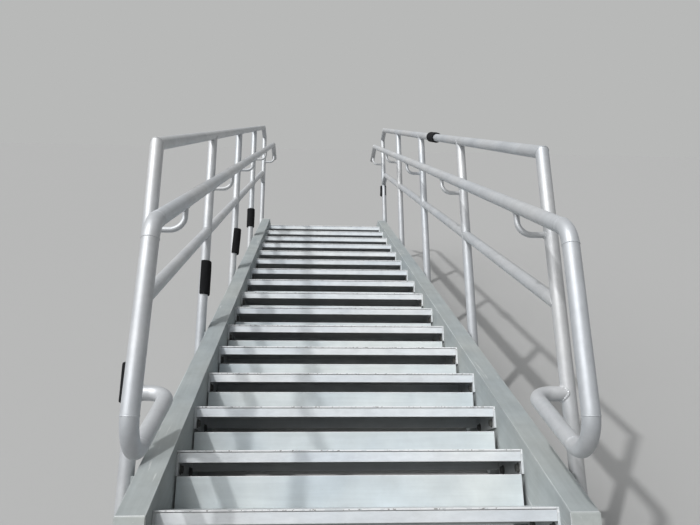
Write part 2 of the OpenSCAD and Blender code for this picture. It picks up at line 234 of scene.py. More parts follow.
def channel_walls(extra):
    """Matching points (depth, distance out) on a channel's outside and inside, from the top
    toe round the web to the bottom toe: rounded toes, straight flanges, root fillets."""
    q = np.linspace(0, math.pi / 2, 5)
    toe_out = np.stack([EDGE_R - EDGE_R * np.sin(q), FLANGE_W - EDGE_R + EDGE_R * np.cos(q)], -1)
    toe_in = np.stack([FLANGE_T - TOE_R + TOE_R * np.sin(q), FLANGE_W - TOE_R + TOE_R * np.cos(q)], -1)
    q = np.linspace(0, math.pi / 2, 10)
    root = np.stack([FLANGE_T + ROOT_R - ROOT_R * np.cos(q), WEB_T + ROOT_R - ROOT_R * np.sin(q)], -1)
    q = np.linspace(0, math.pi / 2, 4)
    back = np.stack([EDGE_R - EDGE_R * np.sin(q), EDGE_R - EDGE_R * np.cos(q)], -1)[::-1]
    # Extra points bound the narrow strips at the flange's outer corners that take the paler paint with a
    # painted highlight
    top = [[0, FLANGE_W - RUB_AND_HIGHLIGHT_W], [0, WEB_T + ROOT_R], [0, WEB_T], [0, RUB_AND_HIGHLIGHT_W]]
    outer = np.concatenate([toe_out, top, back, [[RUB_AND_HIGHLIGHT_W, 0], [FLANGE_T, 0], [FLANGE_T + ROOT_R, 0]]])
    inner = np.concatenate([toe_in, [[FLANGE_T, FLANGE_W - TOE_R - 1]], root])
    middle_out = np.array([[d, 0.0] for d in extra]).reshape(-1, 2)
    middle_in = np.array([[d, WEB_T] for d in extra]).reshape(-1, 2)

    def flip(part):
        return np.stack([CHANNEL_D - part[::-1, 0], part[::-1, 1]], -1)

    return (np.concatenate([outer, middle_out, flip(outer)]),
            np.concatenate([inner, middle_in, flip(inner)]))


def channel(name, side, start, end, height, extra=()):
    """A channel between two cuts. start and end give the run of each depth's first and last
    point, height gives the rise at a run and depth. The walls are one loop carried between
    the cuts, and a strip between outside and inside closes each cut. The strips within the
    given strip width of the top flange's two outer corners take the second paint: paint
    rubbed thin, with a painted highlight where the rounded corners would catch the light."""
    outer, inner = channel_walls(extra)
    loop = np.concatenate([outer, inner[::-1], outer[:1]])

    def at(points, cut):
        run = cut(points[:, 0])
        return np.stack([side * (WEB_X + points[:, 1]), run, height(run, points[:, 0])], -1)

    wall = np.stack([at(loop, start), at(loop, end)], 1)
    first = np.stack([at(outer, start), at(inner, start)], 1)
    last = np.stack([at(outer, end), at(inner, end)], 1)
    piece = skin(name, laid(wall), laid(first), laid(last))
    piece.data.materials.append(channel_paint)
    piece.data.materials.append(rubbed_and_highlit_edge_paint)
    # Faces at the top flange's outer corners take the paler paint: rubbed thin, with a painted highlight
    # along the corners
    middle = (loop[:-1] + loop[1:]) / 2
    near_toe = np.hypot(middle[:, 0], FLANGE_W - middle[:, 1]) < RUB_AND_HIGHLIGHT_W
    near_back = np.hypot(middle[:, 0], middle[:, 1]) < RUB_AND_HIGHLIGHT_W
    for k in np.flatnonzero(near_toe | near_back):
        piece.data.polygons[int(k)].material_index = 1
    return piece


def foot_cut(depth):
    """The plumb cut at the front, or the level cut at the floor where that comes later."""
    on_floor = (depth / math.cos(PITCH) - FLANGE_OVER / math.cos(PITCH) - RISE) / SLOPE
    return np.maximum(-FOOT_REACH, on_floor)


def mitre_cut(depth):
    """The mitre leans from the flange top's bend to the flange bottom's."""
    return MITRE_RUN + (MITRE_LOW_RUN - MITRE_RUN) * depth / CHANNEL_D


def sloped(run, depth):
    return flange_top(run) - depth / math.cos(PITCH)


def flat(run, depth):
    return MITRE_TOP - depth + 0 * run


# Colours that lie over a coat of paint: dust, bare metal in scuffs, smudges
DUST, BARE, SMUDGE = (0.30, 0.29, 0.27), (0.66, 0.67, 0.66), (0.21, 0.215, 0.20)
GRAIN_LIFT = 0.0006  # metres


def paint(name, tone, spread, streak, rough, grain, fleck=0.0, metal=0.0, along=(1, 1, 1),
          scuff=0.0, gloss=0.3):
    """A paint coat: its tone drifts by two slow noises of the object's place, long streaks
    follow the rolling direction, flecks of dust and thin scuffs lie on it, and a fine noise
    lifts the surface. spread, streak, fleck, scuff and grain say how strong each of these
    is, and along is the stretch of the noise that makes the streaks."""
    finish = bpy.data.materials.new(name)
    finish.use_nodes = True
    t = finish.node_tree
    shader = t.nodes["Principled BSDF"]
    place = t.nodes.new("ShaderNodeTexCoord")

    def noise(scale, detail, rough_, stretch=(1, 1, 1), turn=0.0):
        lay = t.nodes.new("ShaderNodeMapping")
        lay.inputs["Scale"].default_value = stretch
        lay.inputs["Rotation"].default_value = (turn, 0, 0)
        t.links.new(place.outputs["Object"], lay.inputs["Vector"])
        made = t.nodes.new("ShaderNodeTexNoise")
        made.inputs["Scale"].default_value = scale
        made.inputs["Detail"].default_value = detail
        made.inputs["Roughness"].default_value = rough_
        t.links.new(lay.outputs["Vector"], made.inputs["Vector"])
        return made.outputs["Fac"]

    def ramp(value, low, high, a, b):
        made = t.nodes.new("ShaderNodeMapRange")
        made.inputs["From Min"].default_value, made.inputs["From Max"].default_value = low, high
        made.inputs["To Min"].default_value, made.inputs["To Max"].default_value = a, b
        t.links.new(value, made.inputs["Value"])
        return made.outputs["Result"]

    def blend(fac, a, b, kind="MIX"):
        made = t.nodes.new("ShaderNodeMix")
        made.data_type, made.blend_type = "RGBA", kind
        for socket, value in ((made.inputs[0], fac), (made.inputs[6], a), (made.inputs[7], b)):
            if isinstance(value, (tuple, list)):
                socket.default_value = (*value, 1) if len(value) == 3 else value
            elif isinstance(value, float):
                socket.default_value = value
            else:
                t.links.new(value, socket)
        return made.outputs[2]

    cool = tuple(c * k for c, k in zip(tone, (1 - spread, 1 - spread * 0.6, 1 - spread * 0.2)))
    warm = tuple(c * k for c, k in zip(tone, (1 + spread * 0.6, 1 + spread * 0.5, 1 + spread * 0.3)))
    colour = blend(ramp(noise(2.2, 3, 0.55), 0.35, 0.65, 0, 1), cool, warm)
    drift = blend(ramp(noise(9, 4, 0.6), 0.3, 0.7, 0, 1), (0.90, 0.90, 0.90), (1.05, 1.05, 1.05))
    colour = blend(1.0, colour, drift, "MULTIPLY")
    lines = ramp(noise(60, 3, 0.6, along), 0.40, 0.62, 1 - streak, 1 + streak * 0.4)
    lines_rgb = t.nodes.new("ShaderNodeCombineColor")
    for k in range(3):
        t.links.new(lines, lines_rgb.inputs[k])
    colour = blend(1.0, colour, lines_rgb.outputs[0], "MULTIPLY")
    if fleck:
        dust = ramp(noise(170, 2, 0.7), 0.66, 0.74, 0, fleck)
        colour = blend(dust, colour, DUST)
    if scuff:
        wear_and_highlight = ramp(noise(46, 3, 0.7, (1, 0.06, 1), 0.35), 0.665, 0.70, 0, scuff)
        colour = blend(wear_and_highlight, colour, BARE)
        smudge = ramp(noise(5.5, 4, 0.62), 0.60, 0.72, 0, scuff * 0.55)
        colour = blend(smudge, colour, SMUDGE)
    t.links.new(colour, shader.inputs["Base Color"])
    t.links.new(ramp(noise(14, 4, 0.6), 0.3, 0.7, rough - 0.05, rough + 0.08), shader.inputs["Roughness"])
    shader.inputs["Metallic"].default_value = metal
    shader.inputs["Specular IOR Level"].default_value = gloss
    lift = t.nodes.new("ShaderNodeBump")
    lift.inputs["Strength"].default_value = grain
    lift.inputs["Distance"].default_value = GRAIN_LIFT
    t.links.new(noise(420, 2, 0.5), lift.inputs["Height"])
    t.links.new(lift.outputs["Normal"], shader.inputs["Normal"])
    return finish


channel_paint = paint("channel paint", (0.376, 0.403, 0.402), spread=0.07, streak=0.05, rough=0.62,
                      grain=0.25, fleck=0.12, along=(1, 0.05, 1), scuff=0.45, gloss=0.15)
# Paler paint for the flange corners: paint rubbed thin, with a painted highlight where the rounded corners
# catch the light
rubbed_and_highlit_edge_paint = paint("channel paint rubbed thin with painted highlight", (0.50, 0.53, 0.53), spread=0.06, streak=0.25,
                   rough=0.40, grain=0.2, fleck=0.25, metal=0.10, along=(1, 0.05, 1))
for side, word in ((-1, "left"), (1, "right")):
    corner_depth = float(flange_top(-FOOT_REACH)) * math.cos(PITCH)
    flight = channel("channel_" + word, side, foot_cut, mitre_cut, sloped, [corner_depth])
    landing = channel("level_channel_" + word, side, mitre_cut, lambda d: LEVEL_END + 0 * d, flat)
    for piece, node in ((flight, "stringer_"), (landing, "level_stringer_")):
        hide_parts(node + word)
        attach(piece, "root")


# Foot plates: a flat plate closes each channel's plumb cut, flush with its flange, and
# is welded on all round, so that a thin bead shows along the seam.
FOOT_PLATE_T, BEAD_R, MITRE_BEAD_R, BEAD_SWELL = 6.4, 2.0, 2.5, 0.12
# A bead's centre lies this far under the flange's top or off the web, and stops short of edges
BEAD_SUNK, BEAD_OUT, BEAD_SHORT = 0.9, 0.7, 2


def block(low, high, lean=None):
    """The six faces of a box from its low and high corner (across, run, rise). lean gives
    the rise that is added over the run, for a top that follows the slope."""
    u = np.linspace(0, 1, 2)
    low, high = np.asarray(low, float), np.asarray(high, float)
    sides = []
    for axis in range(3):
        for end in (0.0, 1.0):
            a, b = np.meshgrid(u, u, indexing="ij")
            part = np.zeros((2, 2, 3))
            others = [k for k in range(3) if k != axis]
            part[..., axis], part[..., others[0]], part[..., others[1]] = end, a, b
            spot = low + part * (high - low)
            if lean is not None:
                spot[..., 2] += np.where(part[..., 2] > 0.5, lean * (spot[..., 1] - low[1]), 0)
            sides.append(laid(spot))
    return sides


def rope(curve, radius, turns=12, closed=False, swell=0.0):
    """A round bead along a curve of points: a ring square to the curve at each point, whose
    radius swells and shrinks a little along it, as a weld's ripples do."""
    curve = np.asarray(curve, float)
    if closed:
        ahead_, behind = np.roll(curve, -1, 0), np.roll(curve, 1, 0)
    else:
        ahead_ = np.concatenate([curve[1:], curve[-1:]])
        behind = np.concatenate([curve[:1], curve[:-1]])
    tangent = ahead_ - behind
    tangent /= np.linalg.norm(tangent, axis=1, keepdims=True)
    pick = np.where(np.abs(tangent[:, :1]) < 0.9, np.array([[1.0, 0, 0]]), np.array([[0, 0, 1.0]]))
    one = np.cross(tangent, pick)
    one /= np.linalg.norm(one, axis=1, keepdims=True)
    two = np.cross(tangent, one)
    size = radius * (1 + swell * np.sin(np.arange(len(curve)) * 2.4)[:, None, None])
    a = np.linspace(0, 2 * math.pi, turns + 1)[None, :, None]
    rings = curve[:, None] + size * (np.cos(a) * one[:, None] + np.sin(a) * two[:, None])
    if closed:
        rings = np.concatenate([rings, rings[:1]])
    else:
        tip = np.repeat(curve[:, None], turns + 1, 1)
        rings = np.concatenate([tip[:1], rings, tip[-1:]])
    rings[:, -1] = rings[:, 0]
    return laid(rings)


def line(a, b, steps=40):
    """Points spaced evenly from a to b."""
    a, b = np.asarray(a, float), np.asarray(b, float)
    return a + np.linspace(0, 1, steps)[:, None] * (b - a)


plate_paint = paint("plate paint", (0.46, 0.485, 0.47), spread=0.06, streak=0.05, rough=0.55,
                    grain=0.25, fleck=0.08, scuff=0.5, gloss=0.2)
bead_paint = paint("bead paint", (0.62, 0.64, 0.64), spread=0.05, streak=0.05, rough=0.4,
                   grain=0.4, metal=0.25)
plates, beads = [], []
for side in (-1, 1):
    front = -FOOT_REACH - FOOT_PLATE_T
    across = sorted((side * WEB_X, side * (WEB_X + FLANGE_W)))
    plates += block((across[0], front, 0), (across[1], -FOOT_REACH, float(flange_top(front))), SLOPE)
    seam_top, mitre_top = float(flange_top(-FOOT_REACH)) - BEAD_SUNK, MITRE_TOP - BEAD_SUNK
    inner, outer = side * (WEB_X + BEAD_SHORT), side * (WEB_X + FLANGE_W - BEAD_SHORT)
    web = side * (WEB_X + BEAD_OUT)
    foot_top = line((inner, -FOOT_REACH, seam_top), (outer, -FOOT_REACH, seam_top))
    foot_web = line((web, -FOOT_REACH, 4), (web, -FOOT_REACH, seam_top - BEAD_SHORT), 60)
    mitre_over = line((inner, MITRE_RUN, mitre_top), (outer, MITRE_RUN, mitre_top))
    mitre_web = line((web, MITRE_RUN, MITRE_TOP - 3), (web, MITRE_LOW_RUN, LEVEL_BOTTOM + 3), 90)
    beads += [rope(curve, BEAD_R, swell=BEAD_SWELL) for curve in (foot_top, foot_web)]
    beads += [rope(curve, MITRE_BEAD_R, swell=BEAD_SWELL) for curve in (mitre_over, mitre_web)]
piece = skin("closing_plates", *plates, bevel=1.0)
piece.data.materials.append(plate_paint)
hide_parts("foot_plates")
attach(piece, "root")
piece = skin("channel_welds", *beads)
piece.data.materials.append(bead_paint)
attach(piece, "root")

# The end angles keep the solid's own shape, with its bolt holes
for node in ("foot_angles", "top_angles"):
    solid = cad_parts[node]
    for slot in solid.material_slots:
        slot.material = channel_paint


# Treads: a flat deck plate whose back is bent down, a lip plate under its front edge
# set back a little, and an end plate at each end that is bolted to the channel's web.
DECK, PAN_T, NOSING_H, LIP_INSET, REAR_LIP_H = 267.0, 4.8, 36.0, 2.5, 50.0
END_PLATE_H, END_PLATE_T, BACK_BEND_R, LIP_SEAM = 74.0, 6.4, 8.0, 1.7
WEAR_REACH, WEAR_COVER = 5.0, 0.8
DECK_HALF = WEB_X - END_PLATE_T - 0.4  # the deck stops 0.4 short of its end plates


def deck_strip(number):
    """The deck's section: top and underside side by side, flat from the nosing to the back
    bend, a quarter turn, then down. It is carried across between the end plates."""
    q = np.linspace(0, math.pi / 2, 9)
    c_run, c_rise = DECK - BACK_BEND_R, -BACK_BEND_R
    outer = np.stack([c_run + BACK_BEND_R * np.sin(q), c_rise + BACK_BEND_R * np.cos(q)], -1)
    top = np.concatenate([[[0, 0]], outer, [[DECK, -REAR_LIP_H]]])
    r = BACK_BEND_R - PAN_T
    inner = np.stack([c_run + r * np.sin(q), c_rise + r * np.cos(q)], -1)
    under = np.concatenate([[[0, -PAN_T]], inner, [[DECK - PAN_T, -REAR_LIP_H]]])
    loop = np.concatenate([top, under[::-1], top[:1]])
    base = np.array([(number - 1) * RUN, number * RISE])

    def at(points, across):
        return np.concatenate([np.full((len(points), 1), across), points + base], 1)

    wall = np.stack([at(loop, -DECK_HALF), at(loop, DECK_HALF)], 1)
    ends = [np.stack([at(top, s * DECK_HALF), at(under, s * DECK_HALF)], 1) for s in (-1, 1)]
    return [laid(wall)] + [laid(e) for e in ends]


def chipped(finish, reach, tone, dark):
    """Wear along every nosing: turned to lie along the line of nosings, the place over one
    tread's spacing is a saw-tooth, a band about its foot marks the edge, and a noise breaks
    the band into bright rubbed spots and a few dark chips."""
    t = finish.node_tree
    shader = t.nodes["Principled BSDF"]
    was = shader.inputs["Base Color"].links[0].from_socket
    first = laid([0, 0, RISE])
    place = t.nodes.new("ShaderNodeTexCoord")
    lay = t.nodes.new("ShaderNodeMapping")
    split = t.nodes.new("ShaderNodeSeparateXYZ")
    lay.vector_type = "POINT"
    lean = PITCH - LIE
    along_first = first[1] * math.cos(lean) + first[2] * math.sin(lean)
    lay.inputs["Rotation"].default_value = (-lean, 0, 0)
    lay.inputs["Location"].default_value = (0, reach / 1000 - along_first, 0)
    t.links.new(place.outputs["Object"], lay.inputs["Vector"])
    t.links.new(lay.outputs["Vector"], split.inputs["Vector"])

    def worked_out(kind, a, b):
        made = t.nodes.new("ShaderNodeMath")
        made.operation = kind
        for socket, value in zip(made.inputs, (a, b)):
            if isinstance(value, float):
                socket.default_value = value
            else:
                t.links.new(value, socket)
        return made.outputs[0]

    saw = worked_out("FLOORED_MODULO", split.outputs["Y"], math.hypot(RISE, RUN) / 1000)
    band = worked_out("LESS_THAN", saw, 2 * reach / 1000)
    # Each wear by its noise's scale, the least value that shows, and its colour
    for scale, low, colour in ((55.0, 0.42, tone), (120.0, 0.61, dark)):
        grain_ = t.nodes.new("ShaderNodeTexNoise")
        grain_.inputs["Scale"].default_value, grain_.inputs["Detail"].default_value = scale, 3
        t.links.new(place.outputs["Object"], grain_.inputs["Vector"])
        mask = worked_out("MULTIPLY", band, worked_out("GREATER_THAN", grain_.outputs["Fac"], low))
        mix = t.nodes.new("ShaderNodeMix")
        mix.data_type = "RGBA"
        mix.inputs[7].default_value = (*colour, 1)
        t.links.new(worked_out("MULTIPLY", mask, WEAR_COVER), mix.inputs[0])
        t.links.new(was, mix.inputs[6])
        was = mix.outputs[2]
    t.links.new(was, shader.inputs["Base Color"])


# Near-white paint for the bevelled edges of treads, lips and toe plates: worn paint, with a painted highlight
# where the edges catch the light
rubbed_and_highlit_paint = paint("rubbed edge with painted highlight", (0.90, 0.91, 0.92), spread=0.04, streak=0.10, rough=0.35,
                     grain=0.2, fleck=0.30, metal=0.10)
tread_paint = paint("tread paint", (0.68, 0.705, 0.715), spread=0.06, streak=0.06, rough=0.42,
                    grain=0.2, fleck=0.16, metal=0.10, along=(0.04, 1, 1))
chipped(tread_paint, WEAR_REACH, (0.86, 0.87, 0.88), (0.22, 0.21, 0.20))
lip_paint = paint("lip paint", (0.755, 0.785, 0.81), spread=0.07, streak=0.05, rough=0.40,
                  grain=0.2, fleck=0.10, metal=0.10, along=(0.35, 1, 1))
for number in range(1, TREADS + 1):
    run, rise = (number - 1) * RUN, number * RISE
    ends = []
    for side in (-1, 1):
        across = sorted((side * WEB_X, side * (WEB_X - END_PLATE_T)))
        ends += block((across[0], run + LIP_INSET, rise - END_PLATE_H), (across[1], run + DECK, rise))
    # The bevels of the deck and the lip take the second paint: worn edges with a painted highlight
    piece = skin("tread_plate_%02d" % number, *deck_strip(number), *ends, bevel=0.7, wear_and_highlight=1)
    low = (-DECK_HALF, run + LIP_INSET, rise - NOSING_H)
    high = (DECK_HALF, run + LIP_INSET + PAN_T, rise - PAN_T - LIP_SEAM)
    lip = skin("tread_lip_%02d" % number, *block(low, high), bevel=1.4, wear_and_highlight=1)
    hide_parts("tread_%02d" % number)
    for part, finish in ((piece, tread_paint), (lip, lip_paint)):
        part.data.materials.append(finish)
        part.data.materials.append(rubbed_and_highlit_paint)
        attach(part, "root")


# Tread bolts: two through each end plate and the web, head on the tread's side and
# nut in the channel's hollow, zinc plated and gone dull.
BOLT_SETS, BOLT_DROP, HEX_R, HEAD_H, NUT_H = (38.0, 212.0), 54.0, 13.0, 7.0, 10.5
WASHER_R, WASHER_T, STEM_R, STEM_SET, STEM_H = 15.5, 2.4, 6.3, 12, 7
HEX = {"sides": 6, "drawn": 0.90, "rim": 0.82}


def stub(across, run, rise, out, radius, height, sides=20, drawn=0.93, rim=0.8):
    """A washer, a bolt's stem or, with six sides, a head: the centre, a full ring at the foot
    and at the share rim of the height, a ring drawn in at the top for the chamfer, and the
    centre again."""
    a = np.linspace(0, 2 * math.pi, sides + 1)
    sizes = np.array([0, 1, 1, drawn, 0])[:, None] * radius
    lifts = np.array([0, 0, rim, 1, 1])[:, None] * height * out
    ring = np.stack([across + lifts + 0 * a, run + sizes * np.cos(a), rise + sizes * np.sin(a)], -1)
    ring[:, -1] = ring[:, 0]
    return laid(ring)


zinc = paint("dull zinc", (0.17, 0.17, 0.16), spread=0.10, streak=0.05, rough=0.5,
             grain=0.15, fleck=0.1, metal=0.5)
for side, word in ((-1, "left"), (1, "right")):
    parts = []
    for number in range(1, TREADS + 1):
        for set_back in BOLT_SETS:
            run, rise = (number - 1) * RUN + set_back, number * RISE - BOLT_DROP
            inner = side * (WEB_X - END_PLATE_T)
            outer = side * (WEB_X + WEB_T)
            parts += [stub(inner, run, rise, -side, WASHER_R, WASHER_T),
                      stub(inner - side * WASHER_T, run, rise, -side, HEX_R, HEAD_H, **HEX),
                      stub(outer, run, rise, side, WASHER_R, WASHER_T),
                      stub(outer + side * WASHER_T, run, rise, side, HEX_R, NUT_H, **HEX),
                      stub(outer + side * STEM_SET, run, rise, side, STEM_R, STEM_H)]
    piece = skin("tread_bolts_" + word, *parts, sharp=25)
    piece.data.materials.append(zinc)
    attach(piece, "root")


# Toe plates: a flat strip welded behind each tread's rear lip, standing over the deck,
# with a small gap to each web.
TOE_H, TOE_BELOW, TOE_T, TOE_GAP_LEFT, TOE_GAP_RIGHT = 85.0, 44.0, 4.8, 6.0, 13.0
TOE_SETS = {1: 5.0, 2: -8.0, 3: 3.0, 6: -6.0, 7: -3.0}  # height over the usual place, by tread

toe_paint = paint("toe plate paint", (0.66, 0.705, 0.715), spread=0.09, streak=0.04, rough=0.42,
                  grain=0.2, fleck=0.12, metal=0.10, along=(0.05, 1, 1))
for number in range(1, TREADS + 1):
    run, rise = (number - 1) * RUN + DECK, number * RISE + TOE_SETS.get(number, 0)
    low = (TOE_GAP_LEFT - WEB_X, run, rise - TOE_BELOW)
    high = (WEB_X - TOE_GAP_RIGHT, run + TOE_T, rise + TOE_H)
    # The toe plate's bevels take the second paint: worn edges with a painted highlight
    piece = skin("toe_strip_%02d" % number, *block(low, high), bevel=1.6, wear_and_highlight=1)
    piece.data.materials.append(toe_paint)
    piece.data.materials.append(rubbed_and_highlit_paint)
    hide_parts("toe_plate_%02d" % number)
    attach(piece, "root")


# Guards: pipe posts on pads against the flanges, a mitred top rail and a mid rail cut
# between the posts, all welded and painted silver.
PAD_T, PAD_W, PAD_INSET, WELD_DEPTH = 9.5, 64.0, 22.0, 1.5
MID_H, POST_SET, POST_STEP, POSTS = 514.0, 127.0, 4, 4
FLANGE_X = WEB_X + FLANGE_W
POST_X = FLANGE_X + PAD_T + PIPE_R - WELD_DEPTH
PIPE_SIDES, POST_SHORT = 40, 12
# Beads: in the mitres, at a post's top, at the mid rail's ends, along the pads
MITRE_WELD_R, TOP_WELD_R, MID_WELD_R, PAD_WELD_R = 1.9, 2.2, 2.0, 2.6
WELD_SUNK, PAD_WELD_OUT, PAD_WELD_SIDE, PAD_WELD_SHORT = 0.9, 0.3, 8.5, 3
# A pipe's round edge: pairs of distance from the end and radius taken off there
END_ROUND = ((0.0, 1.5), (0.45, 0.45), (1.5, 0.0))


def tube(side_x, spots, headings, radii, stretch):
    """A pipe in the upright plane at side_x: at each station (run, rise) a ring lies square
    to the heading; stretch lengthens it in that plane where a mitre cuts the pipe aslant."""
    spots, headings = np.asarray(spots, float), np.asarray(headings, float)
    radii, stretch = np.asarray(radii, float), np.asarray(stretch, float)
    a = np.linspace(0, 2 * math.pi, PIPE_SIDES + 1)
    normal = np.stack([-np.sin(headings), np.cos(headings)], -1)
    ring = np.zeros((len(spots), PIPE_SIDES + 1, 3))
    ring[..., 0] = side_x + radii[:, None] * np.cos(a)
    reach = (radii * stretch)[:, None, None]
    ring[..., 1:] = spots[:, None] + reach * np.sin(a)[:, None] * normal[:, None]
    ring[:, -1] = ring[:, 0]
    return laid(ring)


def run_between(corners, cap_start=True, cap_end=True):
    """Stations of a mitred pipe through corner points: a flat end with a small round edge, or
    a bare end, and at each inner corner one ring in the mitre's own plane."""
    corners = np.asarray(corners, float)
    legs = np.diff(corners, axis=0)
    angle = np.arctan2(legs[:, 1], legs[:, 0])
    unit = np.stack([np.cos(angle), np.sin(angle)], -1)
    spots, headings, radii, stretch = [], [], [], []

    def add(spot, heading, radius, long=1.0):
        spots.append(spot), headings.append(heading), radii.append(radius), stretch.append(long)

    if cap_start:
        add(corners[0], angle[0], 0)
        for back, lost in END_ROUND:
            add(corners[0] + unit[0] * back, angle[0], PIPE_R - lost)
    else:
        add(corners[0], angle[0], PIPE_R)
    for k in range(1, len(corners) - 1):
        half = (angle[k] - angle[k - 1]) / 2
        add(corners[k], (angle[k] + angle[k - 1]) / 2, PIPE_R, 1 / math.cos(half))
    if cap_end:
        for back, lost in END_ROUND[::-1]:
            add(corners[-1] - unit[-1] * back, angle[-1], PIPE_R - lost)
        add(corners[-1], angle[-1], 0)
    else:
        add(corners[-1], angle[-1], PIPE_R)
    return spots, headings, radii, stretch


def mitre_ring(side_x, spot, heading, half):
    """The closed curve in which a mitre cuts the pipe, a little under its surface: a circle,
    lengthened by 1 / cos(half)."""
    r = PIPE_R - WELD_SUNK
    a = np.linspace(0, 2 * math.pi, 73)[:-1]
    normal = np.array([-math.sin(heading), math.cos(heading)])
    ring = np.zeros((len(a), 3))
    ring[:, 0] = side_x + r * np.cos(a)
    ring[:, 1:] = np.asarray(spot) + (r / math.cos(half)) * np.sin(a)[:, None] * normal
    return ring


def saddle_ring(side_x, spot, branch, main, r=PIPE_R):
    """The closed curve in which a branch of radius r meets a main pipe, both in the upright
    plane: along the branch the surface is met at
    (sqrt(PIPE_R^2 - (r sin a)^2) - r cos a * tilt) / slant, where tilt and slant are the
    parts of the branch's cross direction and of its own direction square to the main."""
    a = np.linspace(0, 2 * math.pi, 73)[:-1]
    d = np.array([0, math.cos(branch), math.sin(branch)])
    m = np.array([0, math.cos(main), math.sin(main)])
    e2 = np.array([1.0, 0, 0])
    e1 = np.cross(e2, d)
    k = np.cross(e2, m)
    k = k if d @ k > 0 else -k
    deep = np.sqrt(np.maximum(PIPE_R ** 2 - (r * np.sin(a)) ** 2, 0))
    reach = (deep - r * np.cos(a) * (e1 @ k)) / (d @ k)
    base = np.array([side_x, spot[0], spot[1]])
    return base + r * np.cos(a)[:, None] * e1 + r * np.sin(a)[:, None] * e2 + reach[:, None] * d


def ring_weld(curve, radius, swell=0.05):
    """A closed bead of eight sides round a pipe."""
    return rope(curve, radius, 8, True, swell)


def rail_point(run, height):
    """A point over the nosing line, which is level past the landing edge."""
    return np.array([run, float(nosing_line(min(run, LANDING_RUN))) + height])


def pad_foot(k, run):
    """The height at which a post and its pad start: over the lower flange's underside."""
    low = LEVEL_BOTTOM if k == POSTS else max(float(flange_top(run)) - CHANNEL_D / math.cos(PITCH), 0)
    return low + PAD_INSET


pipe_paint = paint("silver paint", (0.59, 0.60, 0.615), spread=0.06, streak=0.03, rough=0.47,
                   grain=0.12, fleck=0.05, metal=0.40, gloss=0.15)
post_runs = [POST_SET + k * POST_STEP * RUN for k in range(POSTS)] + [LANDING_RUN + LAST_POST_SET]
for side, word in ((-1, "left"), (1, "right")):
    x = side * POST_X
    tops = [rail_point(run, GUARD_H) for run in post_runs]
    bend = rail_point(LANDING_RUN, GUARD_H)
    feet = [np.array([run, pad_foot(k, run)]) for k, run in enumerate(post_runs)]
    # The first post, the top rail and the last post are one mitred frame
    corners = [feet[0], tops[0], bend, tops[-1], feet[-1]]
    painted = [skin("guard_frame_" + word, tube(x, *run_between(corners)), sharp=25)]
    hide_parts("top_rail_" + word, "post_%s_1" % word, "post_%s_5" % word)
    welds, pads = [], []
    legs = [math.atan2(*(b - a)[::-1]) for a, b in zip(corners[:-1], corners[1:])]
    for k in (1, 2, 3):
        half = (legs[k] - legs[k - 1]) / 2
        welds.append(ring_weld(mitre_ring(x, corners[k], (legs[k] + legs[k - 1]) / 2, half), MITRE_WELD_R))
    for k in range(1, POSTS):
        post = tube(x, *run_between([feet[k], tops[k] - [0, POST_SHORT]], cap_end=False))
        painted.append(skin("post_%s_%d" % (word, k + 1), post, sharp=25))
        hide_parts("post_%s_%d" % (word, k + 1))
        welds.append(ring_weld(saddle_ring(x, tops[k], -math.pi / 2, PITCH), TOP_WELD_R))
    # The mid rail runs from post to post
    stops = [rail_point(run, MID_H) for run in post_runs]
    middle = tube(x, *run_between([stops[0], rail_point(LANDING_RUN, MID_H), stops[-1]], False, False))
    painted.append(skin("middle_rail_" + word, middle, sharp=25))
    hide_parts("mid_rail_" + word)
    for k, stop in enumerate(stops):
        ways = [math.pi + (0 if k == POSTS else PITCH)] * (k > 0) + [PITCH] * (k < POSTS)
        welds += [ring_weld(saddle_ring(x, stop, way, math.pi / 2), MID_WELD_R) for way in ways]
    for k, run in enumerate(post_runs):
        top = (MITRE_TOP if k == POSTS else float(flange_top(run))) - PAD_INSET
        across = sorted((side * FLANGE_X, side * (FLANGE_X + PAD_T)))
        pads += block((across[0], run - PAD_W / 2, feet[k][1]), (across[1], run + PAD_W / 2, top))
        for edge in (-1, 1):
            spot = (side * (FLANGE_X + PAD_T + PAD_WELD_OUT), run + edge * PAD_WELD_SIDE)
            up = line((*spot, feet[k][1] + PAD_WELD_SHORT), (*spot, top - PAD_WELD_SHORT), 70)
            welds.append(rope(up, PAD_WELD_R, 8, False, BEAD_SWELL))
    piece = skin("post_pads_" + word, *pads, bevel=0.8)
    piece.data.materials.append(channel_paint)
    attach(piece, "root")
    for piece in (*painted, skin("guard_welds_" + word, *welds)):
        piece.data.materials.append(pipe_paint)
        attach(piece, "root")


# Handrails: one pipe inside each guard, level over the landing, sloped down the flight,
# then bent down, round and back up the slope, and turned outward into the first post.
HANDRAIL_H, HANDRAIL_IN, HANDRAIL_REACH, TURN_R = 841.0, 107.0, 305.0, 55.0
LOOP_SWING = math.radians(1.3)
HANDRAIL_X = POST_X - HANDRAIL_IN
SEAM_LIFT, SEAM_W = 0.45, 3.0
# Stations in each bend and the one at its weld, and the sloped run's gap to the fold
ELBOW_STEPS, ELBOW_SEAM, LOW_STEPS, LOW_SEAM, FOLD_GAP = 22, 20, 44, 2, 5
# Beads round a seam and where the return meets the post
SEAM_BEAD_R, SEAM_SWELL, POST_BEAD_R, POST_SWELL, POST_BEAD_SUNK = 1.8, 0.1, 4.4, 0.14, 1.2


